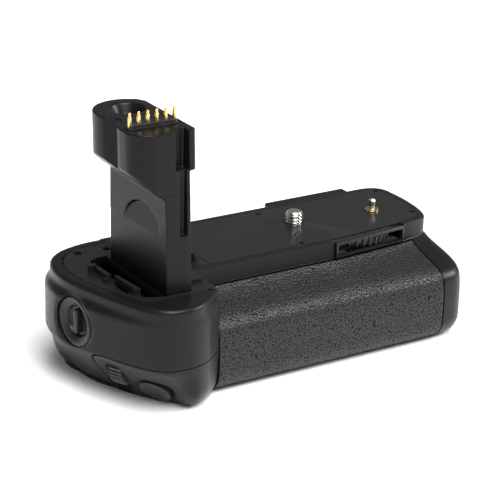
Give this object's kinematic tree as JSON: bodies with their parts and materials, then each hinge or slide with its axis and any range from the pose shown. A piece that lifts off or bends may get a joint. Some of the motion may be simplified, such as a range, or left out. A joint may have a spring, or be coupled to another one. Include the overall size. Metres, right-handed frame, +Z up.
{
  "type": "camera battery grip",
  "caption": "Vertical battery grip: rubber-faced bar with camera screw and thumbwheel, a stalk with spring contacts, and an end cap that slides out with a battery tray.",
  "frame": {"origin": "centre of the footprint, on the base", "axes": "+X along the bar away from the stalk, -Y towards the rubber front, +Z up towards the camera"},
  "size_m": [0.1501, 0.073, 0.0999],
  "materials": {
    "shell": "fine satin black moulding",
    "deck": "smooth satin black",
    "rubber": "pebbled dark rubber",
    "control": "satin black",
    "inner": "dark grey moulding",
    "board": "green laminate",
    "steel": "stamped steel",
    "black_screw": "blackened steel",
    "nickel": "nickel plated",
    "brass": "plain brass",
    "gold": "gold plated",
    "cell": "printed wrap, unmarked"
  },
  "bodies": {
    "housing": {"main_housing": "shell", "rear_lug": "shell", "main_deck": "deck", "deck_screws": "black_screw", "stalk_deck": "shell", "stalk_screws": "black_screw", "bottom_cover": "shell", "case_screws": "steel", "grip_rubber": "rubber", "rear_rubber": "rubber", "window_frame": "deck", "control_cover": "shell", "shutter_switch": "inner", "dial_axle": "steel", "dial_bracket": "inner", "latch_keeper": "steel", "bay_frame": "inner", "bay_contacts": "brass", "wheel_axle": "steel", "drive_bracket": "steel", "locating_pin": "nickel", "pin_flange": "brass", "tripod_socket": "brass", "stalk_core": "shell", "stalk_head": "shell", "contact_block": "control", "pin_barrels": "gold", "main_board": "board", "rear_switches": "inner"},
    "drawer": {"drawer_cap": "shell", "cap_carrier": "inner", "battery_tray": "inner", "cells": "cell", "tray_contacts": "steel"},
    "lock": {"lock_knob": "control", "latch_arm": "steel"},
    "wheel": {"thumbwheel": "control"},
    "screw": {"camera_screw": "nickel", "screw_pinion": "brass"},
    "shutter": {"shutter_button": "control"},
    "dial": {"control_dial": "control"},
    "pins": {"contact_plungers": "gold"},
    "ae_lock": {"ae_lock_button": "control"},
    "af_point": {"af_point_button": "control"},
    "af_start": {"af_start_button": "control"},
    "power": {"power_switch": "control"}
  },
  "joints": [
    {"name": "drawer_slide", "type": "slide", "parent": "housing", "child": "drawer", "axis": [-1, 0, 0], "range_m": [0, 0.104]},
    {"name": "lock_turn", "type": "hinge", "parent": "drawer", "child": "lock", "pos_m": [-0.0735, 0, 0.0253], "axis": [0.989, 0.1478, 0], "range_deg": [0, 90]},
    {"name": "wheel_spin", "type": "hinge", "parent": "housing", "child": "wheel", "pos_m": [0.04341, 0.00799, 0.0355], "axis": [0, 0, 1], "continuous": true},
    {"name": "screw_spin", "type": "hinge", "parent": "housing", "child": "screw", "pos_m": [0.0246, 0.0148, 0.0355], "axis": [0, 0, 1], "continuous": true},
    {"name": "shutter_press", "type": "slide", "parent": "housing", "child": "shutter", "axis": [0.6619, 0.4217, 0.6198], "range_m": [0, 0.0009], "stiffness_N_per_m": 300},
    {"name": "dial_spin", "type": "hinge", "parent": "housing", "child": "dial", "pos_m": [-0.05826, -0.01039, 0.01105], "axis": [0.4179, -0.9085, 0], "continuous": true},
    {"name": "pins_press", "type": "slide", "parent": "housing", "child": "pins", "axis": [0, 0, -1], "range_m": [0, 0.001], "stiffness_N_per_m": 200},
    {"name": "ae_lock_press", "type": "slide", "parent": "housing", "child": "ae_lock", "axis": [0, -1, 0], "range_m": [0, 0.0006], "stiffness_N_per_m": 300},
    {"name": "af_point_press", "type": "slide", "parent": "housing", "child": "af_point", "axis": [0, -1, 0], "range_m": [0, 0.0006], "stiffness_N_per_m": 300},
    {"name": "af_start_press", "type": "slide", "parent": "housing", "child": "af_start", "axis": [0, -1, 0], "range_m": [0, 0.0006], "stiffness_N_per_m": 300},
    {"name": "power_slide", "type": "slide", "parent": "housing", "child": "power", "axis": [1, 0, 0], "range_m": [0, 0.003]}
  ],
  "couplings": [
    {"joint": "screw_spin", "follows": "wheel_spin", "ratio": -3}
  ]
}
